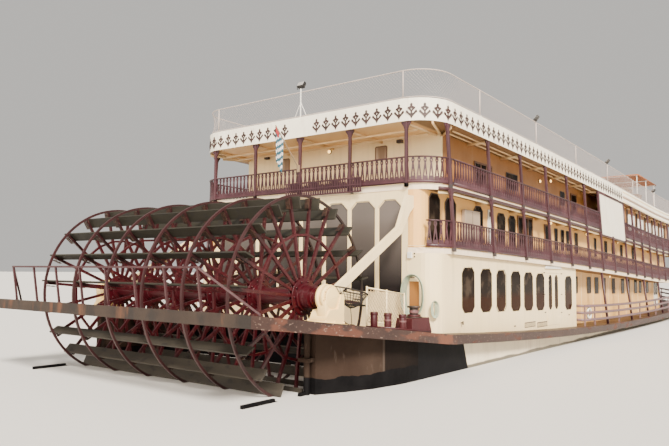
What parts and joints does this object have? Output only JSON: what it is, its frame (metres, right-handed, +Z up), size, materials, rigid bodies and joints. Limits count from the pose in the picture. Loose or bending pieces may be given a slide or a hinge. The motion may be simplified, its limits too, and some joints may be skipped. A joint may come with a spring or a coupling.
{
  "type": "stern-wheel paddle steamer, half-size scale model",
  "caption": "Flat-bottomed three-deck river steamer at half size, with a wide stern paddle wheel between two sponsons, twin rudders, balustraded verandas and hinged saloon doors.",
  "frame": {"origin": "centre of the overall box at the height of the flat bottom, on the centreline amidships", "axes": "+Z up, +Y towards the bow, +X to starboard"},
  "size_m": [7.4, 33.5, 6.68],
  "materials": {
    "hull_paint": "satin",
    "tar": "matte",
    "guard_steel": "matte",
    "cream_paint": "satin",
    "cream_metal": "satin",
    "deck_grey": "matte",
    "maroon_wood": "satin",
    "maroon_metal": "satin",
    "white_metal": "satin",
    "wheel_red": "satin",
    "float_wood": "matte",
    "iron": "matte",
    "canvas": "matte",
    "glass": "gloss",
    "hose": "satin",
    "lamp": "gloss",
    "flag_cloth": "matte"
  },
  "bodies": {
    "boat": {"hull": "hull_paint", "sponson_starboard": "tar", "sponson_port": "tar", "main_deck": "guard_steel", "guard_arm_starboard": "guard_steel", "guard_arm_port": "guard_steel", "aft_walkway": "guard_steel", "saloon_wall_starboard": "cream_paint", "saloon_wall_port": "cream_paint", "promenade_wall_starboard": "cream_paint", "promenade_wall_port": "cream_paint", "front_wall_1": "cream_paint", "front_wall_2": "cream_paint", "front_wall_3": "cream_paint", "stern_wall": "cream_paint", "deck_2_wall_starboard": "cream_paint", "deck_2_wall_port": "cream_paint", "deck_3_wall_starboard": "cream_paint", "deck_3_wall_port": "cream_paint", "deck_3_aft_wall": "cream_paint", "deck_2": "deck_grey", "deck_3": "deck_grey", "roof": "cream_paint", "balcony_frame_starboard": "maroon_wood", "balcony_frame_port": "maroon_wood", "aft_balustrade": "maroon_wood", "fore_balustrade": "maroon_wood", "promenade_rail_starboard": "maroon_metal", "promenade_rail_port": "maroon_metal", "roof_fence_starboard": "white_metal", "roof_fence_port": "white_metal", "roof_fence_aft": "white_metal", "wheelhouse": "cream_paint", "wheelhouse_roof": "white_metal", "awning": "canvas", "engine_block": "iron", "wheel_bearing_starboard": "cream_metal", "wheel_bearing_port": "cream_metal", "strut_starboard": "cream_metal", "strut_port": "cream_metal", "walkway_rail": "maroon_metal", "mooring_gear_starboard": "maroon_metal", "mooring_gear_port": "maroon_metal", "foredeck_windlass": "maroon_metal", "flagstaff": "white_metal", "flag": "flag_cloth"},
    "paddle_wheel": {"paddle_shaft": "wheel_red", "wheel_frame_1": "wheel_red", "wheel_frame_2": "wheel_red", "wheel_frame_3": "wheel_red", "wheel_frame_4": "wheel_red", "wheel_frame_5": "wheel_red", "wheel_frame_6": "wheel_red", "paddle_floats": "float_wood"},
    "starboard_rudder": {"rudder_starboard": "tar"},
    "port_rudder": {"rudder_port": "tar"},
    "starboard_aft_door": {"door_aft_starboard": "cream_paint"},
    "starboard_fore_door": {"door_fore_starboard": "cream_paint"},
    "port_aft_door": {"door_aft_port": "cream_paint"},
    "port_fore_door": {"door_fore_port": "cream_paint"}
  },
  "joints": [
    {"name": "wheel_turn", "type": "hinge", "parent": "boat", "child": "paddle_wheel", "pos_m": [0, -14.5, 2.075], "axis": [1, 0, 0], "continuous": true},
    {"name": "rudder_turn", "type": "hinge", "parent": "boat", "child": "starboard_rudder", "pos_m": [2.79, -14.75, 0.5], "axis": [0, 0, 1], "range_deg": [-35, 35]},
    {"name": "port_rudder_turn", "type": "hinge", "parent": "boat", "child": "port_rudder", "pos_m": [-2.79, -14.75, 0.5], "axis": [0, 0, 1], "range_deg": [-35, 35]},
    {"name": "starboard_aft_door_swing", "type": "hinge", "parent": "boat", "child": "starboard_aft_door", "pos_m": [3.3599, -5.954, 1.5], "axis": [0, 0, -1], "range_deg": [0, 100]},
    {"name": "starboard_fore_door_swing", "type": "hinge", "parent": "boat", "child": "starboard_fore_door", "pos_m": [3.3599, -5.046, 1.5], "axis": [0, 0, 1], "range_deg": [0, 100]},
    {"name": "port_aft_door_swing", "type": "hinge", "parent": "boat", "child": "port_aft_door", "pos_m": [-3.3599, -5.954, 1.5], "axis": [0, 0, 1], "range_deg": [0, 100]},
    {"name": "port_fore_door_swing", "type": "hinge", "parent": "boat", "child": "port_fore_door", "pos_m": [-3.3599, -5.046, 1.5], "axis": [0, 0, -1], "range_deg": [0, 100]}
  ],
  "couplings": [
    {"joint": "port_rudder_turn", "follows": "rudder_turn", "ratio": 1}
  ]
}
